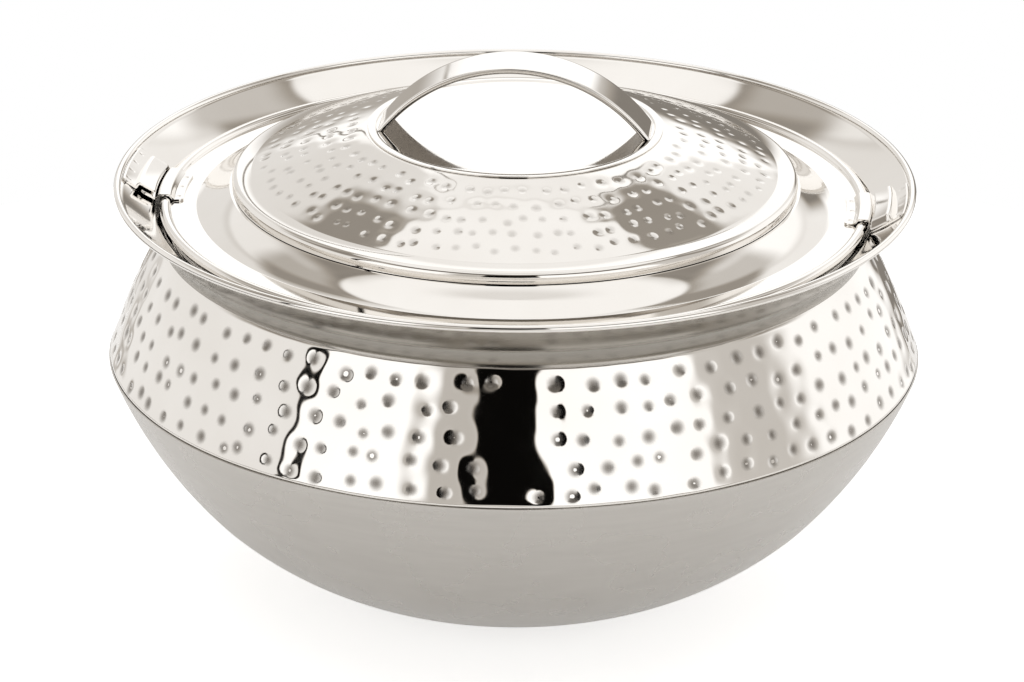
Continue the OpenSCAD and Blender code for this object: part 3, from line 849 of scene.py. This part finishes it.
world = bpy.context.scene.world or bpy.data.worlds.new("studio")
bpy.context.scene.world = world
world.use_nodes = True
air, wires = world.node_tree.nodes, world.node_tree.links
air.clear()
split = air.new("ShaderNodeSeparateXYZ")
wires.new(air.new("ShaderNodeTexCoord").outputs["Generated"], split.inputs[0])
east, north, high = split.outputs
compass = math_node(air, wires, "SUBTRACT", math_node(
    air, wires, "ARCTAN2", east, math_node(air, wires, "MULTIPLY", north, -1.0)), CAMERA_AZ)
height = math_node(air, wires, "ARCSINE", high)


def soft_edge(value, start, end):
    """A soft step of value from start to end, in degrees."""
    node = air.new("ShaderNodeMapRange")
    node.interpolation_type = "SMOOTHSTEP"
    node.inputs["From Min"].default_value = math.radians(start)
    node.inputs["From Max"].default_value = math.radians(end)
    wires.new(value, node.inputs["Value"])
    return node.outputs["Result"]


def card(below, seen, az, width, low, top, soft, soft_up):
    """Lays a card over what is below: az is its middle, width its whole width, in degrees.

    A card with no az goes all the way round."""
    mask = math_node(air, wires, "MULTIPLY", soft_edge(height, low - soft_up, low + soft_up),
                     soft_edge(height, top + soft_up, top - soft_up))
    if az is not None:
        off = math_node(air, wires, "SUBTRACT", compass, math.radians(az))
        off = math_node(air, wires, "ABSOLUTE", math_node(air, wires, "WRAP", off, math.pi, -math.pi))
        mask = math_node(air, wires, "MULTIPLY", mask, soft_edge(off, width / 2 + soft, width / 2 - soft))
    node = air.new("ShaderNodeMix")
    node.data_type = "FLOAT"
    wires.new(mask, node.inputs[0])
    if isinstance(below, bpy.types.NodeSocket):
        wires.new(below, node.inputs[2])
    else:
        node.inputs[2].default_value = below
    node.inputs[3].default_value = lit(seen)
    return node.outputs[0]


print("steel shows full white at", round(lit(1.0), 2), "of light")

# %% Cards laid over the white room
WHITE = 1.0
CARDS = [
    # brightness, middle, width, low, top, softness across, softness up
    (0.80, None, None, -95, 60, 3, 3),           # pale walls
    (0.50, 0, 316, 52, 70, 3, 4),                # shaded gap under the cloth
    (0.42, 0, 130, 37, 70, 18, 3),               # deeper shade in front
    (0.96, None, None, 57, 95, 3, 0.8),          # bright cloth overhead
    (0.86, 0, 180, 75, 95, 30, 6),               # its half towards the camera
    (0.50, 0, 130, -60, -9, 20, 3),              # dark room below the softboxes
    (0.30, -100, 90, -60, -9, 25, 3),            # and darker on its left
    (0.80, 12, 44, -38, -12, 24, 6),             # the lit table in front
    (1.03, -42, 44, -6, 37, 2, 3),               # left softbox in front
    (1.03, 32, 54, -6, 37, 3, 3),                # right softbox in front
    (0.90, -105.5, 81, -12, 49, 2, 3),           # left side card
    (1.0, 111, 74, -12, 49, 5, 3),               # right side card
    (0.52, -93, 44, 30, 57, 12, 6),              # the shaded tops of both, beside the object
    (0.52, 93, 44, 30, 57, 12, 6),
    (0.68, -133, 30, 38, 55, 7, 4),              # and further back
    (0.75, 133, 30, 36, 55, 7, 4),
    (0.76, 76, 26, -12, 49, 8, 3),               # soft seam on the right
    (0.04, -65, 3.2, -8, 44, 0.6, 2),            # thin dark seam on the left
    (0.72, -19, 14, -6, 37, 5, 3),               # the left softbox fades towards the camera
    (0.03, -1.35, 22.3, 4, 40, 1.0, 2),          # dark gap, where the camera stands
    (0.86, -158.5, 19, -40, 56, 2.5, 3),         # corner behind on the left, pale
    (0.55, -148, 16, 40, 56, 4, 3),              # and shaded at its top
    (0.92, 157, 16, 14, 42, 2, 4),               # corner behind on the right, pale
    (0.56, 152, 18, 41, 57, 3, 2),               # shaded at its top
    (0.48, 166, 26, -40, 11, 2, 4),              # and at its foot
    (1.03, 178, 34, 9, 49, 1.2, 5),              # bright wall behind
    (0.94, 179, 38, 48, 57, 2, 3),               # and its top
    (0.64, -171, 20, -40, 4, 3, 4),              # the far floor behind
    (0.30, -166.6, 0.5, 8, 50, 0.3, 2),          # thin dark edges of the corners
    (0.32, 161.2, 0.5, 36, 56, 0.3, 2),
]
level = WHITE
for laid in CARDS:
    level = card(level, *laid)
print(len(CARDS), "cards in the studio")

# %% Warm tones for the darker cards, and white for the eye
STRENGTH = 1.3   # about as bright as the brightest card, so that the ramp covers them all
WARM_AT, WARM = 0.3, (0.324, 0.297, 0.264, 1)
warmth = air.new("ShaderNodeValToRGB")
warmth.color_ramp.elements[0].color = (0, 0, 0, 1)
warmth.color_ramp.elements[1].color = (1, 1, 1, 1)
warmth.color_ramp.elements.new(WARM_AT).color = WARM
wires.new(math_node(air, wires, "DIVIDE", level, STRENGTH), warmth.inputs[0])
studio_light, white_light = air.new("ShaderNodeBackground"), air.new("ShaderNodeBackground")
wires.new(warmth.outputs[0], studio_light.inputs["Color"])
studio_light.inputs["Strength"].default_value = STRENGTH
white_light.inputs["Color"].default_value = (1, 1, 1, 1)
white_light.inputs["Strength"].default_value = WHITE
rays = air.new("ShaderNodeLightPath").outputs
choose = air.new("ShaderNodeMixShader")
wires.new(math_node(air, wires, "MAXIMUM", rays["Is Camera Ray"], rays["Is Transmission Ray"]),
          choose.inputs[0])
wires.new(studio_light.outputs[0], choose.inputs[1])
wires.new(white_light.outputs[0], choose.inputs[2])
wires.new(choose.outputs[0], air.new("ShaderNodeOutputWorld").inputs[0])
print("the brightest card gives steel", round(lit(max(laid[0] for laid in CARDS)), 2), "of light")

# %% [markdown]
# ## The floor
# A disc of matte paper that glows a little for the eye, so that it ends in the white behind it and still
# keeps the object's shadow. In the steel its glow counts for less, or the bowl would be lost in white.

# %% Floor
FLOOR_R, FLOOR_GLOW, GLOW_IN_STEEL = 0.42, 0.6, 0.4
deselect()
bpy.ops.mesh.primitive_circle_add(vertices=96, radius=FLOOR_R, fill_type="NGON", location=(0, 0, 0))
floor = named("studio_floor")
paper, nodes, links, shader = tree_of("floor_paper")
grain_of = noise(nodes, links, object_point(nodes), 4.0)
links.new(tint(nodes, links, between(nodes, links, grain_of, 0, 1), (0.9, 0.9, 0.9), (0.88, 0.88, 0.88)),
          shader.inputs["Base Color"])
shader.inputs["Roughness"].default_value = 0.9
shader.inputs["Specular IOR Level"].default_value = 0.0
glow = nodes.new("ShaderNodeEmission")
glow.inputs["Strength"].default_value = FLOOR_GLOW
add = nodes.new("ShaderNodeAddShader")
links.new(shader.outputs[0], add.inputs[0])
links.new(glow.outputs[0], add.inputs[1])
rays = nodes.new("ShaderNodeLightPath").outputs
pick = nodes.new("ShaderNodeMixShader")
seen = math_node(nodes, links, "MAXIMUM", rays["Is Camera Ray"], rays["Is Transmission Ray"])
in_steel = math_node(nodes, links, "MULTIPLY", rays["Is Glossy Ray"], GLOW_IN_STEEL)
links.new(math_node(nodes, links, "MAXIMUM", seen, in_steel), pick.inputs[0])
links.new(shader.outputs[0], pick.inputs[1])
links.new(add.outputs[0], pick.inputs[2])
links.new(pick.outputs[0], nodes["Material Output"].inputs["Surface"])
floor.data.materials.append(paper)
print("the floor is", 2 * FLOOR_R, "m across")

# %% [markdown]
# ## The camera
# The photograph was taken with a long lens, from a little above and a little to the right of the line
# square to the two brackets. The angle and lens are those that put the rings of the object back on the
# ellipses of the photograph.

# %% Camera
PITCH, YAW, ROLL = 0.387401, -0.00042, 0.00722   # of the lens, in radians
DISTANCE, RAISED, AIM_Z = 1.680, 0.353704, 0.146   # of the camera, from its aim on the axis
LENS, SENSOR = 168.82, 36.0
forward = Vector((math.sin(YAW) * math.cos(PITCH), math.cos(YAW) * math.cos(PITCH), -math.sin(PITCH)))
right = Vector((math.cos(YAW), -math.sin(YAW), 0))
up = right.cross(forward)
right, up = (right * math.cos(ROLL) + up * math.sin(ROLL),
             up * math.cos(ROLL) - right * math.sin(ROLL))
spot = Vector((0, -DISTANCE * math.cos(RAISED), DISTANCE * math.sin(RAISED)))
swing = Matrix.Rotation(CAMERA_AZ, 3, "Z")
axes = Matrix([swing @ right, swing @ up, swing @ -forward]).transposed()
lens = bpy.data.cameras.new("studio_camera")
lens.lens, lens.sensor_width = LENS, SENSOR
lens.clip_start, lens.clip_end = 0.05, 60.0
camera = bpy.data.objects.new("studio_camera", lens)
bpy.context.scene.collection.objects.link(camera)
camera.matrix_world = Matrix.Translation(swing @ spot + Vector((0, 0, AIM_Z))) @ axes.to_4x4()
bpy.context.scene.camera = camera
bpy.context.scene.view_settings.view_transform = "Standard"
print("camera at", [round(c, 3) for c in camera.matrix_world.translation])

# %% Bring the scene up to date
bpy.context.view_layer.update()
